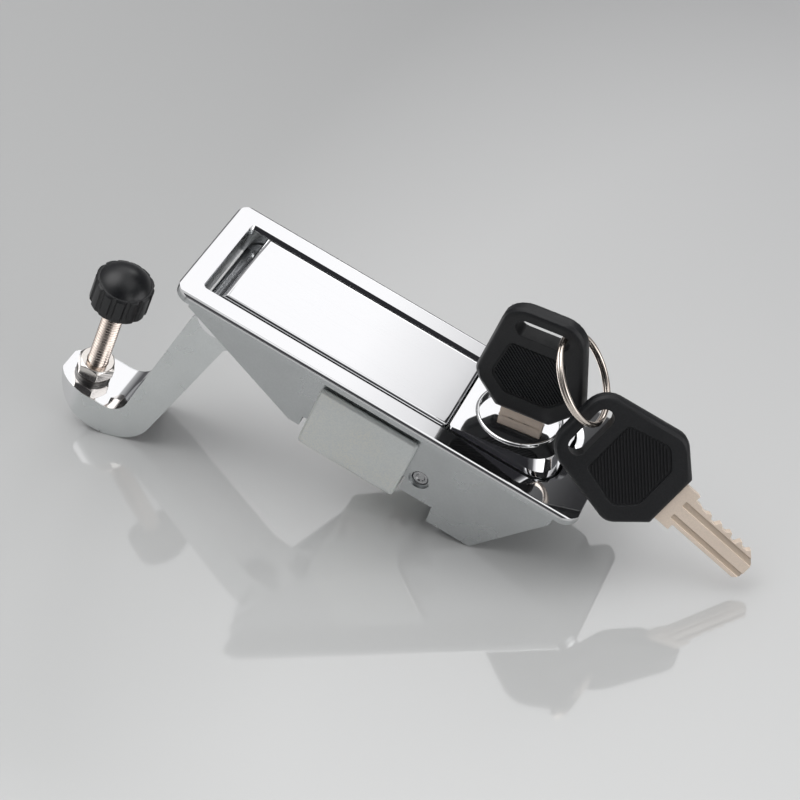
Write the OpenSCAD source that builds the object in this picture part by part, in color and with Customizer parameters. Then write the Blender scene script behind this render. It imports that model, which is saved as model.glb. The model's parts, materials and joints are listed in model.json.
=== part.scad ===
// Flat cabinet lock: flush bezel housing, lift handle with a hooked arm, keyed push button.
// Origin: middle of the bezel's underside (the panel seat). +Z out of the panel, +X to the key end.

/* [Bezel and housing] */
// Length of the bezel flange
bezel_l = 110; // [104:1:130]
// Width of the bezel flange
bezel_w = 38; // [37:0.5:44]
// Thickness of the bezel flange
bezel_t = 2.5; // [2:0.1:3.5]
// Corner radius of the flange
bezel_r = 4.5; // [2:0.5:7]
// Rounding of the flange's top edge
bezel_edge = 0.9; // [0.4:0.1:1.4]
// Flange left of the opening
flange_left = 5.4; // [4.5:0.1:7]
// Flange right of the opening
flange_right = 9; // [8:0.1:12]
// Flange in front of and behind the opening
flange_side = 6.1; // [5.6:0.1:7]
// Bevel round the top of the opening
lip = 0.8; // [0.3:0.1:1]
// Wall thickness of the housing
wall = 1.3; // [1.1:0.1:1.6]
// Depth of the housing at its left end
end_depth = 5.6; // [4:0.1:6]
// Depth of the left foot
foot_depth = 21.7; // [20:0.1:24]
// Depth of the middle floor
mid_depth = 23; // [22.8:0.1:26]
// Depth of the recess that the bracket wraps
notch_depth = 18.4; // [18:0.1:19]
// Depth of the deep well under the cylinder
deep_depth = 28.2; // [27.6:0.1:34]
// Thickness of the floor that the bracket screws bite into
floor_t = 3.4; // [2.5:0.1:3.4]

/* [Handle] */
// Gap round the handle and the button
gap = 0.45; // [0.3:0.05:0.6]
// Thickness of the handle plate
handle_t = 2.6; // [2:0.1:3]
// How far the handle's face lies below the bezel's face
handle_sink = 0.1; // [0:0.05:0.5]
// Depth of the pivot below the panel seat
pivot_z = 6.5; // [6:0.1:7]
// Distance of the pivot from the left end of the opening
pivot_inset = 6.3; // [6.2:0.05:7]
// Diameter of the handle's pivot pin
pivot_d = 4; // [3:0.1:4.5]
// Radius of the rolled left end of the handle
roll_r = 5.8; // [5.4:0.05:5.9]

/* [Hook arm] */
// Width of the arm
arm_w = 16.6; // [12:0.1:16.8]
// Depth of the hook's seat below the pivot
hook_depth = 53.9; // [48:0.1:62]
// Outer radius of the hook's bend
hook_r = 15; // [13:0.1:16]
// Distance of the adjusting bolt from the pivot, along the panel
bolt_reach = 28.1; // [27:0.1:31]

/* [Adjusting bolt] */
// Diameter of the adjusting bolt
bolt_d = 5.5; // [4:0.5:6]
// Across flats of the lock nut
nut_af = 9; // [8:0.5:10]
// Thickness of the spring washer under the nut
washer_t = 1.3; // [0.8:0.1:2]
// Height of the lock nut
nut_h = 4.2; // [3:0.1:6]
// Diameter of the bumper cap over its lobes
cap_d = 15.2; // [12:0.1:18]
// Height of the bumper cap
cap_h = 11.6; // [10:0.1:16]
// Height of the cap's crown above the hook's seat
cap_top = 39.8; // [34:0.1:42]

/* [Push button and cylinder] */
// Length of the button along the opening
button_l = 28; // [26.5:0.1:29]
// Slope of the button's face
face_tilt = 11.5; // [9:0.5:13]
// Step of the button's face above the bezel at the handle
button_step = 0.4; // [0:0.1:0.8]
// Distance of the cylinder from the handle end of the button
cyl_inset = 13.2; // [12.6:0.1:13.4]
// Outer radius of the cylinder's face ring
ring_r = 10.7; // [9.5:0.1:10.8]
// Radius of the cylinder barrel
barrel_r = 8.5; // [8:0.1:8.6]
// Radius of the plug
plug_r = 6.5; // [6.2:0.1:6.8]
// Length of the barrel below the button's face
barrel_l = 19.4; // [17:0.1:19.6]
// Depth of the plug's face below the ring
face_sink = 1.5; // [0.6:0.1:2]

/* [Bracket] */
// Width of the mounting bracket along the panel
bracket_w = 27; // [22:0.5:28]
// Thickness of the bracket's sheet
bracket_t = 1.6; // [1.2:0.1:2]
// Panel space between the bezel and the bracket's legs
panel_gap = 5.2; // [5:0.1:8]
// Depth of the bracket's underside
bracket_depth = 26.4; // [25:0.1:30]
// Radius of the bracket's bends, outside
bend_r = 3; // [2.2:0.1:4]
// Diameter of the bracket screws
screw_d = 4; // [3:0.5:5]

/* [Catch] */
// Diameter of the tubular catch pin
catch_pin_d = 4.4; // [4:0.1:4.8]
// Depth of the catch pin below the panel seat
catch_z = 16.7; // [16.5:0.1:17.2]

/* [Keys] */
// Length of the key head
head_l = 31.4; // [30:0.1:33]
// Widest half width of the key head
head_half = 14.1; // [13:0.1:14.6]
// Thickness of the key head
head_t = 4.6; // [4:0.1:5]
// Length of the blade below the head
blade_l = 25.8; // [24:0.1:27]
// Width of the blade
blade_w = 8; // [7:0.1:8.2]
// Thickness of the blade
blade_t = 2.2; // [1.8:0.1:2.4]
// Mean radius of the split ring
key_ring_r = 10.9; // [10.6:0.1:11.4]
// Wire diameter of the split ring
key_ring_wire = 1.2; // [0.9:0.05:1.3]

/* [Hidden] */
$fn = 64;
eps = 0.01;
// Running clearance of pins in their bores, and seat clearance of fixed pins
run = 0.05;
seat = 0.02;

// Opening and housing
open_x0 = -bezel_l / 2 + flange_left;
open_x1 = bezel_l / 2 - flange_right;
open_w = bezel_w - 2 * flange_side;
body_w = open_w + 2 * wall;
body_x0 = open_x0 - wall - 0.1;
body_x1 = bezel_l / 2 - 5;
open_r_left = 1.2;
open_r_right = 8;

// Handle and pivot
pivot_x = open_x0 + pivot_inset;
button_x1 = open_x1 - gap;
button_x0 = button_x1 - button_l;
handle_x1 = button_x0 - gap;
handle_w = open_w - 2 * gap;
handle_top = bezel_t - handle_sink;
flat_start = -1.4;
edge_r = 1.8;
roll_top = 108;
roll_t = 1.05;
tongue_x1 = handle_x1 - 4.2;
tongue_t = 2.8;
toe_l = 2.4;
toe_top = -10.2;
toe_t = 2.8;

// Catch
catch_x = handle_x1 + 0.65;
catch_hub_r = catch_pin_d / 2 + 1.2;
nose_gap = 0.3;
tail_l = 8;
tail_y0 = 9;
tail_y1 = open_w / 2 - 0.9;
foot_x0 = catch_x + 6;
foot_x1 = catch_x + 7.6;
tail_top = 2.2;
foot_gap = 0.4;

// Housing floor steps
bracket_off = 17.45;
bracket_x = catch_x - bracket_off;
notch_x0 = bracket_x - bracket_w / 2 - 1.4;
notch_x1 = bracket_x + bracket_w / 2 + 0.6;
foot_l = 3;
step_x = catch_x + 5.9;
deep_x1 = bezel_l / 2 - 18.7;
slope_end = 7.2;
floor_x1 = catch_x - catch_hub_r - 1.6;

// Arm profile, measured from the pivot
arm_half = arm_w / 2;
arm_hub_r = roll_r - 1.2;
hook_cx = -bolt_reach + 6.6;
hook_cz = -hook_depth + 5.2;
hook_fillet = 4.5;
arm_in_top = [-7.2, -7.9];
arm_in_lean = 0.188;
arm_out_turn = 14.4;
arm_out_top = [3.2, -12.7];
cross_pin_d = 3.5;
cross_pin_at = [7.4, -0.2];
tip_l = 11;

// Adjusting bolt
bolt_x = pivot_x - bolt_reach;
seat_z = -pivot_z - hook_depth;
cap_z1 = seat_z + cap_top;
cap_z0 = cap_z1 - cap_h;
bolt_z0 = seat_z - 5.4;
cap_lobes = 13;
cap_groove_r = 0.85;
cap_bevel = 0.5;

// Button face and cylinder axis
face_x = button_x0;
face_z = bezel_t + button_step;
cyl_x = face_x + cyl_inset;
cyl_z = face_z + cyl_inset * tan(face_tilt);
button_under = -1.5;
skirt_z = -7;
skirt_y = barrel_r + 0.7;
button_r = 7;
button_lean = 21;
boss_l = 7;
flange_l = 3;
ring_proud = 0.5;
plug_body_l = barrel_l + 1.8;
plug_end_r = 3;
face_r = ring_r - 0.8;
head_disc_t = 1.25;
spring_x = button_x1 - 4.6;
spring_y = open_w / 2 - 2.8;
spring_seat_z = -14;
spring_r = 1.55;

// Cam on the plug's tail
cam_t = 1.3;
cam_reach = 9.5;
cam_w = 4.4;
tail_r = 2;
tail_flat = 1.5;
ledge_gap = 0.5;

// Wafers
wafer_n = 5;
wafer_t = 0.9;
wafer_pitch = 3.4;
wafer_first = -6;
wafer_l = 11.4;
wafer_w = 5;

// Keys
shoulder_half = 5.5;
shoulder_l = 4.4;
tang_l = 9;
head_exit_half = 7.1;
head_wide_at = 8;
head_end_half = head_half - 4.6;
head_edge = 1.3;
slot_l = 13.4;
slot_w = 4.6;
slot_band = 2.9;
panel_deep = 0.45;
mouth_deep = 1.6;
key_seat = shoulder_l - mouth_deep - face_sink + ring_proud;
// Plug long enough for the blade and the wall past its tip
plug_end_wall = 0.4;
plug_l = blade_l - key_seat + plug_end_wall;
groove_deep = 0.5;
// Keyway beside the plug's axis
keyway_off = 0.7;
// Second key: middle of its blade-side edge, measured from the cylinder, and its turn
key_2_off = [40.35, -5.5, 6.514];
key_2_at = [cyl_x, 0, cyl_z] + key_2_off;
key_2_turn = [-56.9, -54.5, 66.3];
// Split ring: centre, measured from the cylinder, and turn of its axis
key_ring_off = [8.35, -1.85, 22.364];
key_ring_at = [cyl_x, 0, cyl_z] + key_ring_off;
key_ring_turn = [-16.2, 35.65, -21];

// Points of an arc round a centre, from angle a0 to a1
function arc(c, r, a0, a1, n = 12) =
    [for (i = [0:n]) let (a = a0 + (a1 - a0) * i / n) c + r * [cos(a), sin(a)]];

function unit(v) = v / norm(v);

// Arc that rounds the corner p between its neighbours a and b
function fillet(a, p, b, r, n = 6) =
    let (u = unit(a - p),
         v = unit(b - p),
         half = acos(u * v) / 2,
         c = p + unit(u + v) * r / sin(half),
         s = p + u * r / tan(half),
         e = p + v * r / tan(half),
         a0 = atan2(s.y - c.y, s.x - c.x),
         turn = atan2(e.y - c.y, e.x - c.x) - a0,
         sweep = turn > 180 ? turn - 360 : turn < -180 ? turn + 360 : turn)
    arc(c, r, a0, a0 + sweep, n);

// Outline with each corner rounded to its own radius
function rounded(pts, radii, n = 6) =
    let (m = len(pts))
    [for (i = [0:m - 1]) each fillet(pts[(i + m - 1) % m], pts[i], pts[(i + 1) % m], radii[i], n)];

// Prism of an XZ outline, w wide, centred on y = 0
module y_prism(w) { rotate([90, 0, 0]) linear_extrude(w, center = true) children(); }

// Prism of a YZ outline from x0 to x1
module x_prism(x0, x1) {
    translate([x0, 0, 0]) rotate([90, 0, 90]) linear_extrude(x1 - x0) children();
}

// Round rod across the lock at [x, z]
module y_rod(at, r, l) { translate([at.x, 0, at.y]) rotate([90, 0, 0]) cylinder(r = r, h = l, center = true); }

// Rectangle with its own corner radii at the left and the right
module plan(x0, x1, w, r0, r1) {
    hull_w = w / 2;
    polygon(rounded([[x0, -hull_w], [x1, -hull_w], [x1, hull_w], [x0, hull_w]], [r0, r1, r1, r0], 10));
}

// Frame of the cylinder: its axis square to the button's face
module on_cylinder() { translate([cyl_x, 0, cyl_z]) rotate([0, -face_tilt, 0]) children(); }

// Two triangles between neighbouring rings of a coil
function coil_pair(a, b, c, d) = [[a, b, d], [a, d, c]];

// Wire swept along a helix round +Z
module coil(r, wire, turns, height, seg = 16, sides = 8) {
    n = ceil(turns * seg);
    points = [for (i = [0:n], k = [0:sides - 1])
        let (a = 360 * turns * i / n, b = 360 * k / sides, rr = r + wire / 2 * cos(b))
        [rr * cos(a), rr * sin(a), height * i / n + wire / 2 * sin(b)]];
    faces = concat(
        [[for (k = [0:sides - 1]) k]],
        [for (i = [0:n - 1], k = [0:sides - 1])
            each coil_pair(i * sides + k, (i + 1) * sides + k, i * sides + (k + 1) % sides,
                (i + 1) * sides + (k + 1) % sides)],
        [[for (k = [sides - 1:-1:0]) n * sides + k]]);
    polyhedron(points, faces);
}

// Flange plate with its top edges rounded
module bezel_plate() {
    half_l = bezel_l / 2;
    half_w = bezel_w / 2;
    intersection() {
        linear_extrude(bezel_t) plan(-half_l, half_l, bezel_w, bezel_r, bezel_r);
        y_prism(bezel_w + 1) polygon(rounded([[-half_l, 0], [half_l, 0], [half_l, bezel_t], [-half_l, bezel_t]],
            [0.2, 0.2, bezel_edge, bezel_edge]));
        x_prism(-half_l - 1, half_l + 1) polygon(rounded([[-half_w, 0], [half_w, 0], [half_w, bezel_t],
            [-half_w, bezel_t]], [0.2, 0.2, bezel_edge, bezel_edge]));
    }
}

// Side outline of the housing below the flange
module body_outline() {
    polygon([
        [body_x0, 0], [body_x0, -end_depth], [notch_x0 - foot_l, -foot_depth], [notch_x0, -foot_depth],
        [notch_x0, -notch_depth], [notch_x1, -notch_depth], [notch_x1, -mid_depth],
        [step_x, -mid_depth], [step_x + 0.5, -deep_depth], [deep_x1, -deep_depth],
        [body_x1, -slope_end], [body_x1, 0]]);
}

// Hollow between the side walls: open below on the left, floored on the right
module body_hollow() {
    low = -2 * deep_depth;
    polygon([
        [open_x0, eps], [open_x0, low], [notch_x0 - foot_l, low], [notch_x0 - foot_l, -notch_depth + floor_t],
        [floor_x1, -notch_depth + floor_t], [floor_x1, -mid_depth + wall], [step_x + wall, -mid_depth + wall],
        [step_x + wall + 0.5, -deep_depth + wall], [deep_x1 - wall * 0.2, -deep_depth + wall],
        [body_x1 - wall, -slope_end + wall * 0.4], [body_x1 - wall, eps]]);
}

// Zinc die casting: flange, side walls and floor in one piece
module bezel_housing() {
    color("gainsboro") difference() {
        union() {
            difference() {
                union() {
                    bezel_plate();
                    y_prism(body_w) body_outline();
                }
                y_prism(open_w) body_hollow();
            }
            for (side = [-1, 1]) translate([spring_x, side * spring_y, -deep_depth + eps])
                intersection() {
                    cylinder(r = spring_r + 0.7, h = deep_depth + spring_seat_z);
                    translate([-spring_x, -side * spring_y, deep_depth]) y_prism(body_w) body_outline();
                }
            locked_ledge();
        }
        translate([0, 0, -eps]) linear_extrude(bezel_t + 1)
            plan(open_x0, open_x1, open_w, open_r_left, open_r_right);
        hull() {
            translate([0, 0, bezel_t - lip]) linear_extrude(eps)
                plan(open_x0, open_x1, open_w, open_r_left, open_r_right);
            translate([0, 0, bezel_t + eps]) linear_extrude(eps)
                plan(open_x0 - 0.1, open_x1 + 2 * lip, open_w + 2 * lip, open_r_left, open_r_right + lip);
        }
        y_rod([pivot_x, -pivot_z], pivot_d / 2 + seat, body_w + 2);
        y_rod([catch_x, -catch_z], catch_pin_d / 2 + seat, body_w + 2);
        for (side = [-1, 1]) translate([catch_x, side * (body_w / 2), -catch_z])
            rotate([90, 0, 0]) cylinder(r = catch_pin_d / 2 + 0.6, h = wall, center = true);
        for (x = screw_places) translate([x, 0, -notch_depth - 1])
            cylinder(d = screw_d + 2 * seat, h = floor_t + 2);
    }
}

// Shelf on the rear wall that the cam stands over when the lock is locked
module locked_ledge() {
    cam_low = cyl_z - (plug_l + cam_t) * cos(face_tilt);
    cam_x = cyl_x + (plug_l + cam_t) * sin(face_tilt);
    top = cam_low - ledge_gap - cam_w / 2 * sin(face_tilt);
    translate([cam_x - cam_w / 2, cam_reach - 1.6, -deep_depth + wall / 2])
        cube([cam_w, open_w / 2 + wall / 2 - cam_reach + 1.6, top + deep_depth - wall / 2]);
}

screw_places = [for (side = [-1, 1]) bracket_x + side * bracket_w * 0.28];

// U-shaped sheet bracket that clamps the panel against the flange
module mounting_bracket() {
    inner = body_w / 2 + 0.3;
    outer = inner + bracket_t;
    in_r = bend_r - bracket_t;
    bottom = -bracket_depth;
    color("lightsteelblue") difference() {
        x_prism(bracket_x - bracket_w / 2, bracket_x + bracket_w / 2) polygon(concat(
            [[-outer, -panel_gap]],
            arc([-outer + bend_r, bottom + bend_r], bend_r, 180, 270, 8),
            arc([outer - bend_r, bottom + bend_r], bend_r, 270, 360, 8),
            [[outer, -panel_gap], [inner, -panel_gap]],
            arc([inner - in_r, bottom + bend_r], in_r, 360, 270, 8),
            arc([-inner + in_r, bottom + bend_r], in_r, 270, 180, 8),
            [[-inner, -panel_gap]]));
        for (x = screw_places) translate([x, 0, bottom - 1]) cylinder(d = screw_d + 0.4, h = bracket_t + 2);
    }
}

// Pan-head screws from the bracket up into the floor
module bracket_screws() {
    head_r = screw_d * 0.95;
    head_h = screw_d * 0.6;
    under = -bracket_depth;
    color("silver") for (x = screw_places) translate([x, 0, under]) difference() {
        union() {
            cylinder(d = screw_d, h = bracket_depth - notch_depth + floor_t - 0.4);
            translate([0, 0, -head_h]) cylinder(r1 = head_r * 0.8, r2 = head_r, h = head_h);
        }
        for (a = [0, 90]) translate([0, 0, -head_h]) rotate(a)
            cube([head_r * 1.1, screw_d * 0.2, head_h * 0.9], center = true);
    }
}

// Side outline of the handle: flat plate, rolled left end, ribs' line
module handle_outline() {
    top = handle_top + pivot_z;
    low = top - handle_t;
    x1 = handle_x1 - pivot_x;
    roll_end = roll_r * [cos(roll_top), sin(roll_top)];
    edge = [flat_start, top];
    tip_top = [x1, top];
    tip_low = [x1, low];
    under = [roll_r * 0.6, low];
    polygon(concat(
        arc([0, 0], roll_r, 185, roll_top, 12),
        fillet(roll_end, edge, tip_top, edge_r, 10),
        fillet(edge, tip_top, tip_low, 0.9),
        fillet(tip_top, tip_low, under, 0.4),
        [under],
        arc([0, 0], roll_r - roll_t, 66, 185, 16)));
}

// Lift handle: plate, rolled end, pivot cheeks, ribs and the tongue for the catch
module handle() {
    inner = arm_half + 0.25;
    x1 = handle_x1 - pivot_x;
    rib_z = handle_top + pivot_z - handle_t + 0.5;
    color("white") translate([pivot_x, 0, -pivot_z]) difference() {
        union() {
            intersection() {
                y_prism(handle_w) handle_outline();
                x_prism(-20, x1 + 1) polygon(rounded([[-handle_w / 2, -20], [handle_w / 2, -20],
                    [handle_w / 2, handle_top + pivot_z], [-handle_w / 2, handle_top + pivot_z]],
                    [0.5, 0.5, 1, 1]));
                translate([0, 0, -20]) linear_extrude(60) plan(-roll_r - 1, x1, handle_w, 0.5, 1.6);
            }
            for (side = [-1, 1]) translate([0, side * (inner + handle_w / 2) / 2, 0])
                y_prism(handle_w / 2 - inner) polygon(concat(
                    arc([0, 0], roll_r - 0.15, roll_top, 300, 18),
                    [[cross_pin_at.x + 3.6, cross_pin_at.y - 3.2], [cross_pin_at.x + 3.6, rib_z - 3],
                     [x1 - 12, rib_z - 1.6], [x1 - 10, rib_z], [flat_start + 0.4, rib_z]]));
            tongue(x1 - (handle_x1 - tongue_x1));
        }
        y_rod([0, 0], pivot_d / 2 + run, handle_w + 2);
        y_rod(cross_pin_at, cross_pin_d / 2 + seat, handle_w + 2);
        spring_pocket();
    }
}

// Post and toe under the free end of the handle
module tongue(x1) {
    half = 6;
    root = handle_top + pivot_z - handle_t + 0.2;
    bottom = toe_top - toe_t + pivot_z;
    y_prism(2 * half) polygon([
        [x1 - tongue_t - 2, root], [x1 - tongue_t, root - 3], [x1 - tongue_t, bottom], [x1 + toe_l - 1, bottom],
        [x1 + toe_l, bottom + 1], [x1 + toe_l, toe_top + pivot_z], [x1, toe_top + pivot_z], [x1, root]]);
}

// Room in the rear cheek for the torsion spring
module spring_pocket() {
    translate([0, arm_half, 0]) rotate([-90, 0, 0]) cylinder(r = roll_r - roll_t - 0.1, h = 3);
}

// Steel pin that the handle turns on
module handle_pivot_pin() { color("gray") y_rod([pivot_x, -pivot_z], pivot_d / 2, body_w); }

// Side outline of the hooked arm, measured from the pivot
module arm_outline() {
    floor_z = -hook_depth;
    in_x = arm_in_top.x + arm_in_lean * (floor_z + hook_fillet - arm_in_top.y);
    fillet = [in_x - hook_fillet / cos(atan(arm_in_lean)), floor_z + hook_fillet];
    centre = [hook_cx, hook_cz];
    tip_a = 180 + asin((hook_cz - floor_z) / hook_r);
    polygon(concat(
        arc([0, 0], arm_hub_r, 20, 200, 15),
        [arm_in_top],
        arc(fillet, hook_fillet, -atan(arm_in_lean), -90, 8),
        arc(centre, hook_r, tip_a, 360 - arm_out_turn, 28),
        [arm_out_top, [cross_pin_at.x + 3.2, cross_pin_at.y - 3.6],
         [cross_pin_at.x + 3.2, cross_pin_at.y + 2.8]]));
}

// Plan of the arm: parallel sides and an elliptic tip
module arm_plan() {
    tip_x = hook_cx - hook_r + tip_l;
    polygon(concat([[30, -arm_half], [30, arm_half]],
        [for (a = [90:10:270]) [tip_x + tip_l * cos(a), arm_half * sin(a)]]));
}

// Hooked arm casting, pinned between the handle's cheeks
module hook_arm() {
    color("gainsboro") translate([pivot_x, 0, -pivot_z]) difference() {
        intersection() {
            y_prism(arm_w) arm_outline();
            translate([0, 0, -100]) linear_extrude(200) arm_plan();
        }
        y_rod([0, 0], pivot_d / 2 + run, arm_w + 2);
        y_rod(cross_pin_at, cross_pin_d / 2 + seat, arm_w + 2);
        translate([-bolt_reach, 0, -hook_depth - 30]) cylinder(d = bolt_d + 2 * run, h = 40);
    }
}

// Cross pin that locks the arm to the handle
module arm_cross_pin() {
    color("gray") y_rod([pivot_x + cross_pin_at.x, cross_pin_at.y - pivot_z], cross_pin_d / 2, handle_w - 0.4);
}

// Torsion spring round the pivot pin, with a leg on the handle and a leg on the housing's end
module handle_spring() {
    wire = 0.7;
    r = pivot_d / 2 + 0.9;
    length = 2;
    color("dimgray") translate([pivot_x, arm_half + 0.5, -pivot_z]) rotate([-90, 0, 0])
        coil(r, wire, 2.5, length, 16, 6);
}

// Threaded adjusting bolt, shown at its major diameter
module adjusting_bolt() {
    thread_end = 0.5;
    color("tan") translate([bolt_x, 0, bolt_z0]) {
        cylinder(d1 = bolt_d - 2 * thread_end, d2 = bolt_d, h = thread_end);
        translate([0, 0, thread_end]) cylinder(d = bolt_d, h = cap_z0 + cap_h * 0.55 - bolt_z0 - thread_end);
    }
}

// Hexagon lock nut with its corners chamfered
module lock_nut() {
    corner_r = nut_af / sqrt(3);
    color("silver") translate([bolt_x, 0, seat_z + washer_t]) difference() {
        intersection() {
            cylinder(r = corner_r, h = nut_h, $fn = 6);
            cylinder(r1 = corner_r + nut_h - 0.5, r2 = nut_af / 2 * 0.97, h = nut_h);
            cylinder(r1 = nut_af / 2 * 0.97, r2 = corner_r + nut_h - 0.5, h = nut_h);
        }
        translate([0, 0, -1]) cylinder(d = bolt_d + 2 * run, h = nut_h + 2);
    }
}

// Split spring washer between the nut and the hook's seat
module lock_washer() {
    outer_r = nut_af * 0.53;
    color("gray") translate([bolt_x, 0, seat_z]) difference() {
        cylinder(r = outer_r, h = washer_t);
        translate([0, 0, -1]) cylinder(d = bolt_d + 0.3, h = washer_t + 2);
        rotate(115) translate([0, -0.3, -1]) cube([outer_r + 1, 0.6, washer_t + 2]);
    }
}

// Plastic cap that meets the striker: dome over a skirt of lobes with grooves between them
module bumper_cap() {
    lobe_r = cap_d / 2;
    dome_r0 = lobe_r - 0.9;
    skirt_h = cap_h * 0.71;
    dome_h = cap_h - skirt_h;
    dome_r = (dome_r0 * dome_r0 + dome_h * dome_h) / (2 * dome_h);
    color("black") translate([bolt_x, 0, cap_z0]) difference() {
        union() {
            cylinder(r1 = lobe_r - cap_bevel, r2 = lobe_r, h = cap_bevel);
            translate([0, 0, cap_bevel]) cylinder(r = lobe_r, h = skirt_h - 2 * cap_bevel);
            translate([0, 0, skirt_h - cap_bevel])
                cylinder(r1 = lobe_r, r2 = lobe_r - cap_bevel, h = cap_bevel);
            intersection() {
                translate([0, 0, cap_h - dome_r]) sphere(r = dome_r, $fn = 96);
                translate([0, 0, skirt_h - eps]) cylinder(r = dome_r0, h = dome_h + 1);
            }
        }
        for (i = [0:cap_lobes - 1]) rotate(360 * i / cap_lobes)
            translate([lobe_r + cap_groove_r * 0.3, 0, -1])
                cylinder(r = cap_groove_r, h = skirt_h + 2, $fn = 24);
        translate([0, 0, -1]) cylinder(d = bolt_d + 2 * seat, h = cap_h * 0.55 + 1);
    }
}

// Outer form of the button: straight sides, leaning rounded end, sloped face
module button_form() {
    intersection() {
        translate([0, 0, skirt_z]) linear_extrude(40) plan(button_x0, button_x1, handle_w, 0.8, button_r);
        translate([button_x1, 0, bezel_t - 1.2]) rotate([0, -button_lean, 0]) translate([0, 0, -20])
            linear_extrude(40) plan(-2 * button_l, 0, handle_w, 0.8, button_r);
        y_prism(handle_w + 2) polygon([
            [button_x0 - 1, skirt_z - 1], [button_x1 + 1, skirt_z - 1],
            [button_x1 + 1, face_z + (button_l + 1) * tan(face_tilt)],
            [button_x0 - 1, face_z - tan(face_tilt)]]);
    }
}

// Push button: sloped face, skirts that guide it and feet that press the catch
module push_button() {
    color("white") difference() {
        union() {
            difference() {
                button_form();
                translate([button_x0 - 1, -skirt_y, skirt_z - 1])
                    cube([button_l + 2, 2 * skirt_y, button_under - skirt_z + 1]);
            }
            on_cylinder() translate([0, 0, -boss_l]) cylinder(r = barrel_r + 1.6, h = boss_l - 1);
            for (side = [-1, 1]) translate([foot_x0, side > 0 ? tail_y0 + 0.2 : -handle_w / 2 + 0.2,
                    -catch_z + tail_top + foot_gap])
                cube([foot_x1 - foot_x0, handle_w / 2 - tail_y0 - 0.4,
                    skirt_z + 1 + catch_z - tail_top - foot_gap]);
        }
        on_cylinder() {
            translate([0, 0, -40]) cylinder(r = barrel_r + seat, h = 60);
            translate([0, 0, -boss_l - 30]) cylinder(r = skirt_y, h = 30);
            translate([0, 0, -flange_l]) cylinder(r = ring_r + seat, h = 20);
        }
    }
}

// Return springs between the button's skirts and the housing's posts
module button_springs() {
    wire = 0.5;
    height = skirt_z - spring_seat_z - wire - 0.1;
    color("dimgray") for (side = [-1, 1])
        translate([spring_x, side * spring_y, spring_seat_z + wire / 2 + 0.05])
            coil(spring_r - wire / 2, wire, 5, height, 12, 6);
}

// Fixed barrel with the bright face ring
module cylinder_barrel() {
    color("white") on_cylinder() difference() {
        union() {
            translate([0, 0, -flange_l]) cylinder(r = ring_r, h = flange_l + ring_proud - 0.4);
            translate([0, 0, ring_proud - 0.4]) cylinder(r1 = ring_r, r2 = ring_r - 0.4, h = 0.4);
            translate([0, 0, -barrel_l]) cylinder(r = barrel_r, h = barrel_l - flange_l + eps);
        }
        translate([0, 0, -barrel_l - 1]) cylinder(r = plug_r + run, h = barrel_l + 5);
        translate([0, 0, ring_proud - face_sink - head_disc_t - run]) cylinder(r = face_r, h = 10);
        clip_cut(barrel_r - 0.6, 0.05);
    }
}

// Groove or clip: a flat ring round the barrel under the button's boss
module clip_cut(inner, clearance) {
    translate([0, 0, -boss_l - 1.1 - clearance]) difference() {
        cylinder(r = skirt_y - 0.15, h = 1 + 2 * clearance);
        translate([0, 0, -1]) cylinder(r = inner, h = 4);
    }
}

// Spring clip that keeps the barrel in the button
module barrel_clip() {
    color("gray") on_cylinder() difference() {
        clip_cut(barrel_r - 0.55, 0);
        translate([0, -3, -boss_l - 3]) cube([20, 6, 5]);
    }
}

// Turning plug with its keyway, wafer slots and squared tail
module plug() {
    top = ring_proud - face_sink;
    color("white") on_cylinder() difference() {
        union() {
            translate([0, 0, top - head_disc_t]) cylinder(r = face_r - run, h = head_disc_t);
            translate([0, 0, -plug_body_l]) cylinder(r = plug_r, h = plug_body_l + top - head_disc_t + eps);
            translate([0, 0, -plug_l])
                cylinder(r1 = plug_end_r, r2 = plug_r - 0.2, h = plug_l - plug_body_l + eps);
            intersection() {
                translate([0, 0, -plug_l - cam_t]) cylinder(r = tail_r, h = cam_t + eps);
                cube([20, 2 * tail_flat, 80], center = true);
            }
        }
        translate([keyway_off - blade_w / 2 - 0.2, -blade_t / 2 - 0.15, key_seat - blade_l - 0.15])
            cube([blade_w + 0.4, blade_t + 0.3, 40]);
        translate([keyway_off - shoulder_half - 0.1, -blade_t / 2 - 0.15, top - mouth_deep])
            cube([2 * shoulder_half + 0.2, blade_t + 0.3, 10]);
        for (i = [0:wafer_n - 1]) wafer_room(i);
    }
}

module at_wafer(i) { translate([0, 0, wafer_first - wafer_pitch * i]) children(); }

// Slot for one wafer and the side pocket for its spring
module wafer_room(i) {
    at_wafer(i) {
        cube([wafer_l + 0.2, wafer_w + 0.2, wafer_t + 0.2], center = true);
        translate([0, wafer_w / 2 + 0.8, 0]) cube([4.4, 1.5, 1.5], center = true);
    }
}

// Sprung wafers that ride on the key's cuts
module wafers() {
    color("goldenrod") on_cylinder() for (i = [0:wafer_n - 1]) at_wafer(i) difference() {
        cube([wafer_l, wafer_w, wafer_t], center = true);
        translate([keyway_off, 0, 0]) cube([blade_w + 0.4, blade_t + 0.3, 2], center = true);
    }
}

// One small coil spring beside each wafer
module wafer_springs() {
    wire = 0.25;
    color("dimgray") on_cylinder() for (i = [0:wafer_n - 1]) at_wafer(i)
        translate([-1.95, wafer_w / 2 + 0.8, 0]) rotate([0, 90, 0]) coil(0.42, wire, 5, 3.9, 8, 5);
}

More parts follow.
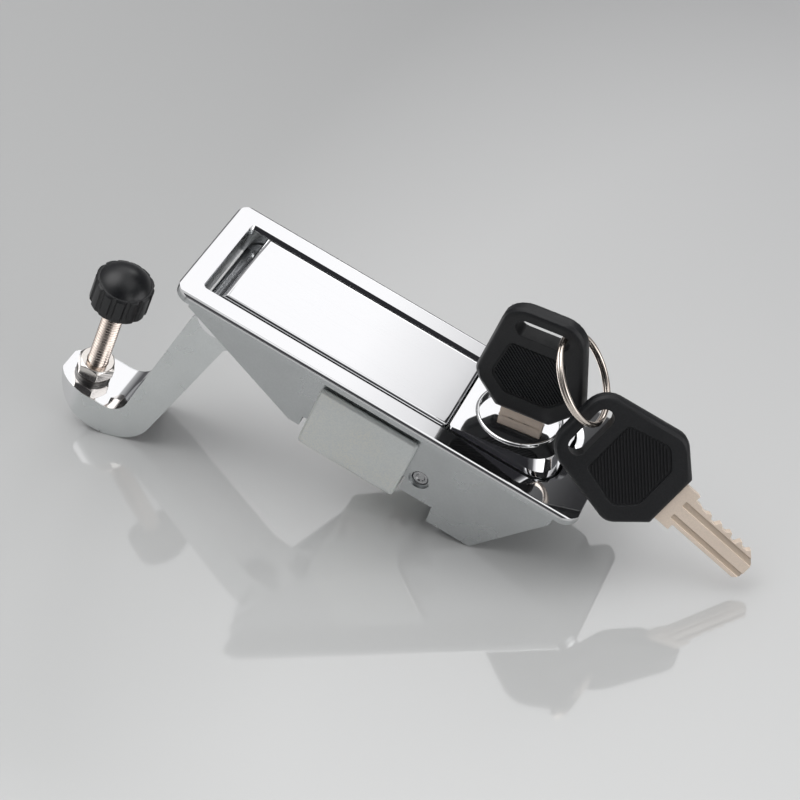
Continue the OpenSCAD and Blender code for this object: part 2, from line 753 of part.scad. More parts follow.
// Cam riveted on the plug's tail; turned, it stands over the housing's shelf and blocks the button
module lock_cam() {
    color("silver") on_cylinder() translate([0, 0, -plug_l - cam_t]) difference() {
        union() {
            cylinder(r = tail_r + 0.9, h = cam_t - 0.05);
            translate([-cam_reach + cam_w / 2, -cam_w / 2, 0])
                cube([cam_reach - cam_w / 2, cam_w, cam_t - 0.05]);
            translate([-cam_reach + cam_w / 2, 0, 0]) cylinder(d = cam_w, h = cam_t - 0.05);
        }
        intersection() {
            translate([0, 0, -1]) cylinder(r = tail_r + seat, h = cam_t + 2);
            cube([20, 2 * (tail_flat + seat), 20], center = true);
        }
    }
}

// Bell crank: its nose holds the handle's toe, its tails lie under the button's feet
module catch() {
    nose_x = tongue_x1 + 0.6 - catch_x;
    nose_z = toe_top + nose_gap + catch_z;
    stem = [-1.2, 1.6];
    color("slategray") translate([catch_x, 0, -catch_z]) difference() {
        union() {
            y_rod([0, 0], catch_hub_r, 2 * tail_y1);
            y_prism(12) polygon([
                [stem[0], 0], [stem[0], nose_z], [nose_x, nose_z], [nose_x + 0.6, nose_z + 2.7],
                [stem[1], nose_z + 2.7], [stem[1], 0]]);
            for (side = [-1, 1]) translate([0, side * (tail_y0 + tail_y1) / 2, 0]) y_prism(tail_y1 - tail_y0)
                polygon([[0, -catch_hub_r], [tail_l, tail_top - 3.6], [tail_l, tail_top], [0, tail_top]]);
        }
        y_rod([0, 0], catch_pin_d / 2 + run, 40);
    }
}

// Tubular pin that the catch turns on
module catch_pin() {
    color("dimgray") difference() {
        y_rod([catch_x, -catch_z], catch_pin_d / 2, body_w - 0.5);
        y_rod([catch_x, -catch_z], catch_pin_d / 2 - 0.9, body_w + 2);
    }
}

// Torsion spring of the catch, between its stem and its tail
module catch_spring() {
    wire = 0.5;
    color("dimgray") translate([catch_x, 6.3, -catch_z]) rotate([-90, 0, 0])
        coil(catch_hub_r + wire / 2 + 0.2, wire, 3.5, 2.2, 16, 6);
}

// Outline of the key head: flared from the blade, tapering to the ring end
function head_outline(inset) = rounded(
    [[-head_exit_half + inset * 0.6, inset], [head_exit_half - inset * 0.6, inset],
     [head_half - inset, head_wide_at], [head_end_half - inset * 0.8, head_l - inset],
     [-head_end_half + inset * 0.8, head_l - inset], [-head_half + inset, head_wide_at]],
    [0.8, 0.8, 4.5, 6.2, 6.2, 4.5]);

// Key frame: x across the blade, z from the blade-side edge to the ring end
module head_slab(inset, t) { y_prism(t) polygon(head_outline(inset)); }

module key_head() {
    slot_z = head_l - slot_band - slot_w / 2;
    difference() {
        hull() {
            head_slab(0, head_t - 2 * head_edge);
            head_slab(head_edge * 0.35, head_t - head_edge * 0.7);
            head_slab(head_edge, head_t);
        }
        for (x = [-1, 1]) translate([x * (slot_l - slot_w) / 2, 0, slot_z])
            rotate([90, 0, 0]) cylinder(d = slot_w, h = head_t + 2, center = true);
        cube_at([-(slot_l - slot_w) / 2, -head_t, slot_z - slot_w / 2], [slot_l - slot_w, 2 * head_t, slot_w]);
        for (side = [-1, 1]) translate([0, side * head_t / 2, 0]) y_prism(2 * panel_deep)
            polygon(rounded([[-5.6, 5.4], [5.6, 5.4], [head_half - 4.2, 10], [7, head_l - 10.4],
                [-7, head_l - 10.4], [-head_half + 4.2, 10]], [2.6, 2.6, 3.2, 1, 1, 3.2]));
        key_blank(0);
    }
}

module cube_at(at, size) { translate(at) cube(size); }

// Tang, shoulder and blade before cutting
module key_blank(grow) {
    t = blade_t + 2 * grow;
    cube_at([-shoulder_half, -t / 2, -shoulder_l], [2 * shoulder_half, t, shoulder_l + tang_l]);
}

// One groove along the blade, run out into the shoulder
module groove(x, w, side, end) {
    top = -shoulder_l + 1.6;
    cube_at([x - w / 2, side * blade_t / 2 - groove_deep, end - 1], [w, 2 * groove_deep, top - end + 1]);
}

// Cut blade: shoulder, two milled grooves, stepped cuts on one edge, pointed tip
module key_blade() {
    half = blade_w / 2;
    end = -shoulder_l - (blade_l - shoulder_l);
    cuts = [0.5, 1.2, 0.8, 1.4, 0.9];
    step = 3.4;
    difference() {
        union() {
            key_blank(0);
            y_prism(blade_t) polygon([[-half, -shoulder_l + eps], [-half, end + 1.5], [-half + 1.2, end],
                [half - 2.8, end], [half, end + 3], [half, -shoulder_l + eps]]);
        }
        for (side = [-1, 1]) {
            groove(half - 2.4, 1.5, side, end);
            groove(-half + 1.6, 1.3, side, end);
        }
        for (i = [0:len(cuts) - 1]) translate([half, 0, -shoulder_l - 3.4 - step * i]) y_prism(blade_t + 1)
            polygon([[0.1, -1.55], [-cuts[i], -0.75], [-cuts[i], 0.75], [0.1, 1.55]]);
    }
}

module in_plug() { on_cylinder() translate([keyway_off, 0, key_seat]) children(); }

module second_key() { translate(key_2_at) rotate(key_2_turn) children(); }

module key_1_blade() { color("tan") in_plug() key_blade(); }

module key_1_head() { color("black") in_plug() key_head(); }

module key_2_blade() { color("tan") second_key() key_blade(); }

module key_2_head() { color("black") second_key() key_head(); }

// Split ring of two turns
module key_ring() {
    color("silver") translate(key_ring_at) rotate(key_ring_turn)
        translate([0, 0, -key_ring_wire / 2])
            coil(key_ring_r, key_ring_wire, 1.97, key_ring_wire * 1.04, 36, 8);
}

bezel_housing();
mounting_bracket();
bracket_screws();
handle();
handle_pivot_pin();
hook_arm();
arm_cross_pin();
handle_spring();
adjusting_bolt();
lock_nut();
lock_washer();
bumper_cap();
push_button();
button_springs();
cylinder_barrel();
barrel_clip();
plug();
wafers();
wafer_springs();
lock_cam();
catch();
catch_pin();
catch_spring();
key_1_blade();
key_1_head();
key_ring();
key_2_blade();
key_2_head();
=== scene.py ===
import json
import math

import bmesh
import bpy
from mathutils import Euler, Matrix, Vector


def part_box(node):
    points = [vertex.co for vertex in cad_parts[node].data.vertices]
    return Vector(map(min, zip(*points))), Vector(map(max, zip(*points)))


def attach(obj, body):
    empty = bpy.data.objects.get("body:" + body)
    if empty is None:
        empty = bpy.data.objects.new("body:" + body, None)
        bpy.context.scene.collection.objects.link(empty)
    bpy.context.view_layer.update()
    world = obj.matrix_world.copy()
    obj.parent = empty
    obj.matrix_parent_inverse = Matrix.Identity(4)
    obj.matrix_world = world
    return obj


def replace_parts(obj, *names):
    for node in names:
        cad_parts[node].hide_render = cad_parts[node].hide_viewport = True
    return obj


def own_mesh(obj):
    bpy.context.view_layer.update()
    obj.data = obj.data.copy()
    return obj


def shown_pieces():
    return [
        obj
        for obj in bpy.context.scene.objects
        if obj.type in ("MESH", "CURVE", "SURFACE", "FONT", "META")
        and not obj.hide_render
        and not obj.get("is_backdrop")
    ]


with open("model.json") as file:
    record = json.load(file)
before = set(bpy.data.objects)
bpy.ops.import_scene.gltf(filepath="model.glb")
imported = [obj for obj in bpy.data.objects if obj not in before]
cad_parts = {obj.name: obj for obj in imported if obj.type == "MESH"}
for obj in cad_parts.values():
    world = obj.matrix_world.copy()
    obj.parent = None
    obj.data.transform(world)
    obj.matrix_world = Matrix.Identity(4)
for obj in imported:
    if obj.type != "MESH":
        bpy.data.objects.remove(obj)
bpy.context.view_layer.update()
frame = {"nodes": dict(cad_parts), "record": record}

MM = 0.001
BODY_OF = {node: body for body, members in frame["record"]["behaviour"]["bodies"].items() for node in members}


# Shader nodes, set up in one line each

# Places of the colour sockets on a mix node
MIX_FIRST, MIX_SECOND, MIX_RESULT = 6, 7, 2


def feed(tree, socket, given):
    """Sets a socket to a number or a colour, or links it to another socket."""
    if isinstance(given, (int, float)):
        socket.default_value = given
    elif isinstance(given, tuple):
        socket.default_value = (*given, 1)
    else:
        tree.links.new(given, socket)


def range_node(tree, value, span, to_low=0, to_high=1):
    """Takes a value from the span to to_low..to_high, and holds it there beyond the span."""
    node = tree.nodes.new("ShaderNodeMapRange")
    tree.links.new(value, node.inputs["Value"])
    node.inputs["From Min"].default_value, node.inputs["From Max"].default_value = span
    feed(tree, node.inputs["To Min"], to_low)
    feed(tree, node.inputs["To Max"], to_high)
    return node.outputs["Result"]


def noise_node(tree, vector, scale, detail, rough=0.5):
    """Noise texture's value."""
    node = tree.nodes.new("ShaderNodeTexNoise")
    tree.links.new(vector, node.inputs["Vector"])
    feed(tree, node.inputs["Scale"], scale)
    node.inputs["Detail"].default_value = detail
    node.inputs["Roughness"].default_value = rough
    return node.outputs["Fac"]


def math_node(tree, operation, *values):
    """One step of arithmetic on sockets."""
    node = tree.nodes.new("ShaderNodeMath")
    node.operation = operation
    for socket, value in zip(node.inputs, values):
        tree.links.new(value, socket)
    return node.outputs[0]


def colour_mix(tree, mask, first, second):
    """Colour that goes from first to second with the mask."""
    node = tree.nodes.new("ShaderNodeMix")
    node.data_type = "RGBA"
    tree.links.new(mask, node.inputs["Factor"])
    feed(tree, node.inputs[MIX_FIRST], first)
    feed(tree, node.inputs[MIX_SECOND], second)
    return node.outputs[MIX_RESULT]


# Surface effects that the materials share, each a node group on object coordinates

PATCH_SPAN = (0.38, 0.66)
GRAIN_SPAN = (0.4, 0.62)
LINE_SPAN = (0.55, 0.7)
LINE_STRETCH = (0.02, 1, 1)


def effect_group(name, inputs, outputs):
    """Node group on a vector and more values; returns its tree, what it is given and what it gives out."""
    tree = bpy.data.node_groups.new(name, "ShaderNodeTree")
    tree.interface.new_socket("Vector", in_out="INPUT", socket_type="NodeSocketVector")
    for socket in inputs:
        tree.interface.new_socket(socket, in_out="INPUT", socket_type="NodeSocketFloat")
    for socket in outputs:
        tree.interface.new_socket(socket, in_out="OUTPUT", socket_type="NodeSocketFloat")
    return tree, tree.nodes.new("NodeGroupInput").outputs, tree.nodes.new("NodeGroupOutput").inputs


def handling_marks():
    """Soft patches, as left by a cloth or a hand, between two roughness values."""
    tree, given, out = effect_group("handling_marks", ["Scale", "Low", "High"], ["Roughness"])
    cloud = noise_node(tree, given["Vector"], given["Scale"], detail=4, rough=0.6)
    tree.links.new(range_node(tree, cloud, PATCH_SPAN, given["Low"], given["High"]), out["Roughness"])
    return tree


def fine_grain():
    """Close grain of a casting, plating or moulded skin, as a height and a mask."""
    tree, given, out = effect_group("fine_grain", ["Scale"], ["Height", "Mask"])
    grain = noise_node(tree, given["Vector"], given["Scale"], detail=5, rough=0.55)
    tree.links.new(grain, out["Height"])
    tree.links.new(range_node(tree, grain, GRAIN_SPAN), out["Mask"])
    return tree


def hairlines():
    """Fine straight marks along X, as left by polishing or drawing."""
    tree, given, out = effect_group("hairlines", ["Scale"], ["Mask"])
    stretch = tree.nodes.new("ShaderNodeMapping")
    stretch.inputs["Scale"].default_value = LINE_STRETCH
    tree.links.new(given["Vector"], stretch.inputs["Vector"])
    lines = noise_node(tree, stretch.outputs["Vector"], given["Scale"], detail=3, rough=0.6)
    tree.links.new(range_node(tree, lines, LINE_SPAN), out["Mask"])
    return tree


MARKS, GRAIN, LINES = handling_marks(), fine_grain(), hairlines()


# Materials

CLOUD_SPAN = (0.35, 0.65)


class Finish:
    """One material: its Principled shader and the nodes that drive it from object coordinates."""

    def __init__(self, name, metallic, specular=0.5):
        self.material = bpy.data.materials.new(name)
        self.material.use_nodes = True
        self.tree = self.material.node_tree
        self.shader = self.tree.nodes["Principled BSDF"]
        self.shader.inputs["Metallic"].default_value = metallic
        self.shader.inputs["Specular IOR Level"].default_value = specular
        self.place = self.tree.nodes.new("ShaderNodeTexCoord").outputs["Object"]

    def effect(self, group, **values):
        """Places a shared effect with its own values."""
        node = self.tree.nodes.new("ShaderNodeGroup")
        node.node_tree = group
        self.tree.links.new(self.place, node.inputs["Vector"])
        for socket, value in values.items():
            node.inputs[socket].default_value = value
        return node.outputs

    def cloud(self, scale):
        """Mask of broad, soft clouds."""
        return range_node(self.tree, noise_node(self.tree, self.place, scale, detail=3), CLOUD_SPAN)

    def blend(self, mask, first, second):
        """Colour that goes from first to second with the mask."""
        return colour_mix(self.tree, mask, first, second)

    def mix_value(self, mask, first, second):
        """Value that goes from first to second with the mask."""
        return range_node(self.tree, mask, (0, 1), first, second)

    def axis(self, name):
        """One object coordinate, in metres."""
        split = self.tree.nodes.new("ShaderNodeSeparateXYZ")
        self.tree.links.new(self.place, split.inputs[0])
        return split.outputs[name]

    def drive(self, socket, value):
        """Links a value or a colour to the shader."""
        self.tree.links.new(value, self.shader.inputs[socket])

    def marked(self, scale, low, high):
        """Roughness with handling marks between two values."""
        self.drive("Roughness", self.effect(MARKS, Scale=scale, Low=low, High=high)["Roughness"])

    def bump(self, height, distance, strength):
        """Relief of the surface."""
        node = self.tree.nodes.new("ShaderNodeBump")
        node.inputs["Strength"].default_value = strength
        node.inputs["Distance"].default_value = distance
        self.tree.links.new(height, node.inputs["Height"])
        self.drive("Normal", node.outputs["Normal"])


CHROME = (0.885, 0.885, 0.895)
CHROME_LINE = (0.868, 0.868, 0.88)
CASTING_CHROME = (0.88, 0.88, 0.89)
SATIN_SPREAD = 0.05
SATIN_SPECKLE = 1.06
SATIN_CLOUD = 0.96
SATIN_CLOUD_SHARE = 0.5
SATIN_RELIEF = 0.004 * MM
PLATING_GRAIN = 0.94
PLATING_RELIEF = 0.015 * MM
PLASTIC = (0.0085, 0.009, 0.0105)
PLASTIC_SPECKLE = (0.014, 0.0145, 0.0165)


def polished_chrome(name):
    """Mirror plating with faint handling marks and polishing lines."""
    finish = Finish(name, metallic=1)
    finish.marked(90, low=0.03, high=0.075)
    lines = finish.effect(LINES, Scale=2600)["Mask"]
    finish.drive("Base Color", finish.blend(lines, CHROME, CHROME_LINE))
    return finish.material


def two_finish_casting(name, satin_where, rough, tone):
    """Chrome, satin as plated over the raw casting where the mask is 1, and mirror-bright elsewhere."""
    finish = Finish(name, metallic=1)
    where = satin_where(finish)
    marks = finish.effect(MARKS, Scale=80, Low=0.03, High=0.07)["Roughness"]
    grain = finish.effect(GRAIN, Scale=1700)
    cloud = finish.cloud(110)
    dull = finish.mix_value(cloud, rough - SATIN_SPREAD, rough + SATIN_SPREAD)
    finish.drive("Roughness", finish.mix_value(where, marks, dull))
    speckle = finish.blend(grain["Mask"], tone, tuple(SATIN_SPECKLE * c for c in tone))
    satin = finish.blend(finish.mix_value(cloud, 0, SATIN_CLOUD_SHARE), speckle,
                         tuple(SATIN_CLOUD * c for c in tone))
    finish.drive("Base Color", finish.blend(where, CASTING_CHROME, satin))
    finish.bump(math_node(finish.tree, "MULTIPLY", grain["Height"], where), SATIN_RELIEF, strength=0.4)
    return finish.material


def plated_steel(name, light, dark, rough, metallic=1):
    """Plated sheet, turned steel or brass: cloudy tint and fine grain."""
    finish = Finish(name, metallic=metallic)
    grain = finish.effect(GRAIN, Scale=2400)
    tint = finish.blend(finish.cloud(70), light, dark)
    finish.drive("Base Color", finish.blend(grain["Mask"], tint, tuple(PLATING_GRAIN * c for c in light)))
    finish.marked(150, low=rough - 0.06, high=rough + 0.08)
    finish.bump(grain["Height"], PLATING_RELIEF, strength=0.5)
    return finish.material


def moulded_black(name, rough, grain, relief, gloss):
    """Near-black moulded plastic with a fine skin."""
    finish = Finish(name, metallic=0, specular=gloss)
    skin = finish.effect(GRAIN, Scale=grain)
    finish.drive("Base Color", finish.blend(skin["Mask"], PLASTIC, PLASTIC_SPECKLE))
    finish.marked(120, low=rough - 0.05, high=rough + 0.09)
    finish.bump(skin["Height"], relief, strength=0.6)
    return finish.material


POLISH_LINE = 1.6 * MM
ARM_SIDE = 8.0 * MM
FADE = 0.25 * MM


def below_polish_line(finish):
    """Mask of the walls and the lower part of the flange's lip."""
    return range_node(finish.tree, finish.axis("Z"), (POLISH_LINE - FADE, POLISH_LINE + FADE), 1, 0)


def sides_of_arm(finish):
    """Mask of the arm's two side faces."""
    across = math_node(finish.tree, "ABSOLUTE", finish.axis("Y"))
    return range_node(finish.tree, across, (ARM_SIDE - FADE, ARM_SIDE + FADE))


finishes = {
    "chrome": polished_chrome("mirror_chrome"),
    "casting": two_finish_casting("chromed_casting", below_polish_line, 0.3, (0.53, 0.545, 0.55)),
    "arm": two_finish_casting("chromed_arm", sides_of_arm, 0.24, (0.70, 0.72, 0.72)),
    "zinc": plated_steel("zinc_sheet", (0.84, 0.87, 0.86), (0.87, 0.87, 0.81), 0.36, metallic=0.22),
    "steel": plated_steel("plain_steel", (0.50, 0.50, 0.51), (0.42, 0.42, 0.43), 0.32),
    "dark_steel": plated_steel("oiled_washer", (0.12, 0.115, 0.11), (0.20, 0.19, 0.18), 0.35),
    "bolt": plated_steel("nickel_bolt", (0.78, 0.68, 0.61), (0.70, 0.60, 0.53), 0.24),
    "nickel": plated_steel("bright_nickel", (0.82, 0.78, 0.74), (0.76, 0.71, 0.67), 0.16),
    "ring": plated_steel("ring_wire", (0.80, 0.72, 0.65), (0.72, 0.63, 0.56), 0.14),
    "key": plated_steel("key_brass", (0.98, 0.83, 0.70), (0.94, 0.79, 0.66), 0.38, metallic=0.12),
    # Rougher brass for the groove floors; its darker colour is painted shade in the milled grooves
    "groove_painted_shade": plated_steel("groove_brass_painted_shade", (0.74, 0.62, 0.51), (0.66, 0.55, 0.45), 0.45, metallic=0.3),
    "brass": plated_steel("wafer_brass", (0.78, 0.60, 0.30), (0.70, 0.53, 0.26), 0.3),
    "head": moulded_black("key_head_plastic", 0.48, grain=2600, relief=0.03 * MM, gloss=0.4),
    "cap": moulded_black("bumper_cap_plastic", 0.36, grain=3600, relief=0.008 * MM, gloss=0.5),
}


# Dressed copies of the CAD solids: welded, flats made whole, edges softened

WELD = 0.0005 * MM
FLAT = math.radians(0.4)
CREASE = 32
EDGE_STEPS = 2
FLAT_WEIGHT = 80


def welded(node):
    """The node's solid as a bmesh with shared corners and whole flat faces."""
    bm = bmesh.new()
    bm.from_mesh(frame["nodes"][node].data)
    bmesh.ops.remove_doubles(bm, verts=bm.verts, dist=WELD)
    bmesh.ops.dissolve_limit(bm, angle_limit=FLAT, verts=bm.verts, edges=bm.edges)
    return bm


def mark_rim(bm, crease, band):
    """Gives the bevel weight to the sharp edges outside the middle band, in which the screw holes are."""
    weight = bm.edges.layers.float.new("bevel_weight_edge")
    for e in bm.edges:
        middle = (e.verts[0].co + e.verts[1].co) / 2
        beyond = abs(middle.x) > band.x or abs(middle.y) > band.y
        if beyond and len(e.link_faces) == 2 and e.calc_face_angle() > math.radians(crease):
            e[weight] = 1


def finished(name, bm, body, finish, crease=CREASE, edge=0, rim=None):
    """The bmesh as a piece on a body, smooth up to the crease angle, with its sharp edges rounded by edge."""
    if rim:
        mark_rim(bm, crease, rim)
    mesh = bpy.data.meshes.new(name)
    bm.to_mesh(mesh)
    bm.free()
    mesh.shade_smooth()
    mesh.set_sharp_from_angle(angle=math.radians(crease))
    for coat in (finish if isinstance(finish, tuple) else (finish,)):
        mesh.materials.append(finishes[coat])
    piece = bpy.data.objects.new(name, mesh)
    bpy.context.scene.collection.objects.link(piece)
    if edge:
        soft = piece.modifiers.new("soft_edges", "BEVEL")
        soft.limit_method = "WEIGHT" if rim else "ANGLE"
        soft.angle_limit = math.radians(crease)
        soft.width = edge
        soft.segments = EDGE_STEPS
        soft.profile = 0.5
        soft.material = -1
        soft.miter_outer = "MITER_ARC"
    flat = piece.modifiers.new("flat_faces", "WEIGHTED_NORMAL")
    flat.keep_sharp = True
    flat.weight = FLAT_WEIGHT
    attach(piece, body)
    return piece


# Finish of each node and the rounding of its edges in mm
DRESS = {
    "bezel_housing": ("casting", 0.22),
    "mounting_bracket": ("zinc", 0.72),
    "bracket_screws": ("nickel", 0.12),
    "handle": ("chrome", 0.4),
    "handle_pivot_pin": ("casting", 0),
    "hook_arm": ("arm", 0.3),
    "arm_cross_pin": ("steel", 0),
    "handle_spring": ("steel", 0),
    "lock_nut": ("nickel", 0.15),
    "lock_washer": ("dark_steel", 0.12),
    "bumper_cap": ("cap", 0.18),
    "push_button": ("chrome", 0.3),
    "button_springs": ("steel", 0),
    "cylinder_barrel": ("chrome", 0.15),
    "barrel_clip": ("steel", 0),
    "plug": ("chrome", 0.1),
    "wafers": ("brass", 0),
    "wafer_springs": ("steel", 0),
    "lock_cam": ("zinc", 0),
    "catch": ("zinc", 0),
    "catch_spring": ("steel", 0),
    "key_1_head": ("head", 0.25),
    "key_2_head": ("head", 0.25),
}

# Half length and half width of the part of a node whose edges stay sharp
RIM_BAND = {"mounting_bracket": Vector((12, 4)) * MM}

# The hook's inner fillet and the corner that its two flats would make, both from the handle's pivot
HOOK_FILLET_AT = Vector((-19.58, 0, -49.4)) * MM
HOOK_FILLET_R = 4.5 * MM
HOOK_FILLET_SLACK = 0.03 * MM
HOOK_CORNER = Vector((-15.85, 0, -53.9)) * MM
HOOK_EASE = 1.45


def eased_hook(bm):
    """Widens the hook's inner fillet: its rows of points move out from the corner of the two flats."""
    low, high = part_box("handle_pivot_pin")
    pivot = (low + high) / 2
    for v in bm.verts:
        from_fillet = v.co - pivot - HOOK_FILLET_AT
        from_corner = v.co - pivot - HOOK_CORNER
        if abs(math.hypot(from_fillet.x, from_fillet.z) - HOOK_FILLET_R) < HOOK_FILLET_SLACK:
            v.co.x += (HOOK_EASE - 1) * from_corner.x
            v.co.z += (HOOK_EASE - 1) * from_corner.z
    return bm


for node, (finish, edge) in DRESS.items():
    form = welded(node)
    if node == "hook_arm":
        form = eased_hook(form)
    piece = finished(node + "_dressed", form, BODY_OF[node], finish, edge=edge * MM, rim=RIM_BAND.get(node))
    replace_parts(piece, node)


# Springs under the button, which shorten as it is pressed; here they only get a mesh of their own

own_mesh(bpy.data.objects["button_springs_dressed"])


# Pin of the catch: both ends sit back in their counterbores, chamfered and dished

PIN_BACK = 0.55 * MM
PIN_CHAMFER = 0.35 * MM
DISH_R = 1.25 * MM
DISH_DEEP = 0.3 * MM
PIN_STEPS = 48
SPIN_WELD = 0.002 * MM


def dished_pin(node):
    """Solid pin along Y, turned from a half section, a little shorter than the node."""
    low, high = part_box(node)
    middle = (low + high) / 2
    r = (high.x - low.x) / 2
    half = (high.y - low.y) / 2 - PIN_BACK
    end = [(0, half - DISH_DEEP), (DISH_R - DISH_DEEP, half - DISH_DEEP), (DISH_R, half),
           (r - PIN_CHAMFER, half), (r, half - PIN_CHAMFER)]
    section = end + [(x, -y) for x, y in reversed(end)]
    bm = bmesh.new()
    corners = [bm.verts.new((middle.x + x, middle.y + y, middle.z)) for x, y in section]
    sides = [bm.edges.new(pair) for pair in zip(corners, corners[1:])]
    bmesh.ops.spin(bm, geom=corners + sides, cent=middle, axis=(0, 1, 0), angle=2 * math.pi,
                   steps=PIN_STEPS, use_merge=True, use_duplicate=False)
    bmesh.ops.remove_doubles(bm, verts=bm.verts, dist=SPIN_WELD)
    bmesh.ops.recalc_face_normals(bm, faces=bm.faces)
    return bm


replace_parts(finished("catch_pin_dished", dished_pin("catch_pin"), "housing", "steel"), "catch_pin")


# Screw thread of the adjusting bolt

THREAD_PITCH = 1.0 * MM
THREAD_DEPTH = 0.5 * MM
THREAD_STEPS = 32
THREAD_CREASE = 38
CREST_FROM, CREST_TO = 0.4, 0.55


def cut_flat(bm, at, normal):
    """Cuts the mesh at a plane, drops what lies beyond it and closes the cut."""
    everything = bm.verts[:] + bm.edges[:] + bm.faces[:]
    bmesh.ops.bisect_plane(bm, geom=everything, plane_co=at, plane_no=normal, clear_outer=True)
    bmesh.ops.holes_fill(bm, edges=[e for e in bm.edges if e.is_boundary], sides=0)


def threaded_bolt(node):
    """Rod with a helical thread, as long and as thick as the node."""
    low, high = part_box(node)
    middle = (low + high) / 2
    crest = (high.x - low.x) / 2
    root = crest - THREAD_DEPTH
    start = low.z - 2 * THREAD_PITCH
    turns = math.ceil((high.z - start) / THREAD_PITCH) + 2
    bm = bmesh.new()
    tooth = [(root, 0), (crest, CREST_FROM), (crest, CREST_TO), (root, 1)]
    corners = [bm.verts.new((middle.x + r, middle.y, start + share * THREAD_PITCH)) for r, share in tooth]
    flanks = [bm.edges.new(pair) for pair in zip(corners, corners[1:])]
    bmesh.ops.spin(bm, geom=corners + flanks, cent=(middle.x, middle.y, 0), axis=(0, 0, 1),
                   dvec=(0, 0, THREAD_PITCH / THREAD_STEPS), angle=2 * math.pi * turns,
                   steps=THREAD_STEPS * turns, use_merge=False, use_duplicate=False)
    bmesh.ops.remove_doubles(bm, verts=bm.verts, dist=SPIN_WELD)
    cut_flat(bm, (0, 0, low.z), (0, 0, -1))
    cut_flat(bm, (0, 0, high.z), (0, 0, 1))
    bmesh.ops.recalc_face_normals(bm, faces=bm.faces)
    return bm


bolt = finished("adjusting_bolt_threaded", threaded_bolt("adjusting_bolt"), "adjuster", "bolt",
                crease=THREAD_CREASE)
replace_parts(bolt, "adjusting_bolt")


# Keys: blades with milled grooves, and heads with diagonal grip ribs in their recessed panels

FACE_TILT = math.radians(11.5)
CYLINDER_AT = Vector((30.75, 0, 5.5856)) * MM
KEY_1_OFF = Vector((0.7, 0, 1.8)) * MM
KEY_2_AT = Vector((71.1, -5.5, 12.1)) * MM
KEY_2_TURN = Euler([math.radians(a) for a in (-56.9, -54.5, 66.3)])
CYLINDER_FRAME = Matrix.Translation(CYLINDER_AT) @ Matrix.Rotation(-FACE_TILT, 4, "Y")
KEY_FRAMES = {
    "key_1": CYLINDER_FRAME @ Matrix.Translation(KEY_1_OFF),
    "key_2": Matrix.Translation(KEY_2_AT) @ KEY_2_TURN.to_matrix().to_4x4(),
}
HEAD_T = 4.6 * MM
PANEL_DEEP = 0.45 * MM
PANEL_MIDDLE = 13 * MM
RIB_PITCH = 0.765 * MM
RIB_W = 0.5 * MM
RIB_H = 0.34 * MM
RIB_RIDGE = 0.45
RIB_REACH = 20 * MM
RIB_LONG = 1.4 * RIB_REACH
RIB_CREASE = 20
# The second key is the first turned over, so its ribs run the other way
RIB_TURN = {"key_1": math.radians(-43), "key_2": math.radians(43)}
# Corners of the ribbed field in mm, across and along the head, and how far each is rounded off
FIELD_HALF = [(5.38, 5.9, 1.3), (9.35, 10.14, 1.9), (6.62, 20.5, 0.7)]
FIELD = FIELD_HALF + [(-x, z, cut) for x, z, cut in reversed(FIELD_HALF)]
FIELD_STEPS = 4
BLADE_T = 2.2 * MM
BLADE_EDGE = 0.1 * MM
GROOVE_DEEP = 0.5 * MM
FACING = 0.9


def field_edges():
    """Edges of the ribbed field in order, each as its start and its run, after the corners are rounded."""
    bm = bmesh.new()
    corners = [bm.verts.new((x * MM, 0, z * MM)) for x, z, _ in FIELD]
    bm.faces.new(corners)
    for corner, (_, _, cut) in zip(corners, FIELD):
        bmesh.ops.bevel(bm, geom=[corner], offset=cut * MM, offset_type="OFFSET", affect="VERTICES",
                        segments=FIELD_STEPS, profile=0.5, material=-1)
    loops = bm.faces[:][0].loops
    edges = [(l.vert.co.copy(), l.link_loop_next.vert.co - l.vert.co) for l in loops]
    bm.free()
    return edges


def grip_ribs(side, turn):
    """Ribs on one face of a head, in the key's own frame: x across, y through and z along the head."""
    bm = bmesh.new()
    count = int(RIB_REACH / RIB_PITCH)
    for i in range(-count // 2, count // 2 + 1):
        bar = bmesh.ops.create_cube(bm, size=1)["verts"]
        bmesh.ops.scale(bm, vec=(RIB_W, RIB_H + PANEL_DEEP, RIB_LONG), verts=bar)
        ridge = [v for v in bar if v.co.y * side > 0]
        bmesh.ops.scale(bm, vec=(RIB_RIDGE, 1, 1), verts=ridge)
        bmesh.ops.translate(bm, vec=(i * RIB_PITCH, 0, 0), verts=bar)
    bmesh.ops.rotate(bm, cent=(0, 0, 0), matrix=Matrix.Rotation(turn, 3, "Y"), verts=bm.verts)
    top = side * (HEAD_T / 2 - PANEL_DEEP + RIB_H)
    bmesh.ops.translate(bm, vec=(0, top - side * (RIB_H + PANEL_DEEP) / 2, PANEL_MIDDLE), verts=bm.verts)
    for start, run in field_edges():
        cut_flat(bm, start, (run.z, 0, -run.x))
    return bm


def milled_blade(node, place):
    """The key's blade, with the floors of its milled grooves in the second finish: a rougher brass whose
    darker colour is painted shade in the grooves.
    """
    bm = welded(node)
    home = place.inverted()
    for face in bm.faces:
        through = (home.to_3x3() @ face.normal).y
        depth = abs((home @ face.calc_center_median()).y)
        if abs(through) > FACING and depth < BLADE_T / 2 - GROOVE_DEEP / 2:
            face.material_index = 1
    return bm


for key, place in KEY_FRAMES.items():
    blade = key + "_blade"
    piece = finished(blade + "_dressed", milled_blade(blade, place), key, ("key", "groove_painted_shade"),
                     edge=BLADE_EDGE)
    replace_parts(piece, blade)
    for side, face in ((-1, "front"), (1, "back")):
        ribs = grip_ribs(side, RIB_TURN[key])
        bmesh.ops.transform(ribs, matrix=place, verts=ribs.verts)
        bmesh.ops.recalc_face_normals(ribs, faces=ribs.faces)
        finished(f"{key}_grip_ribs_{face}", ribs, key, "head", crease=RIB_CREASE)


# Split ring: round wire wound nearly twice

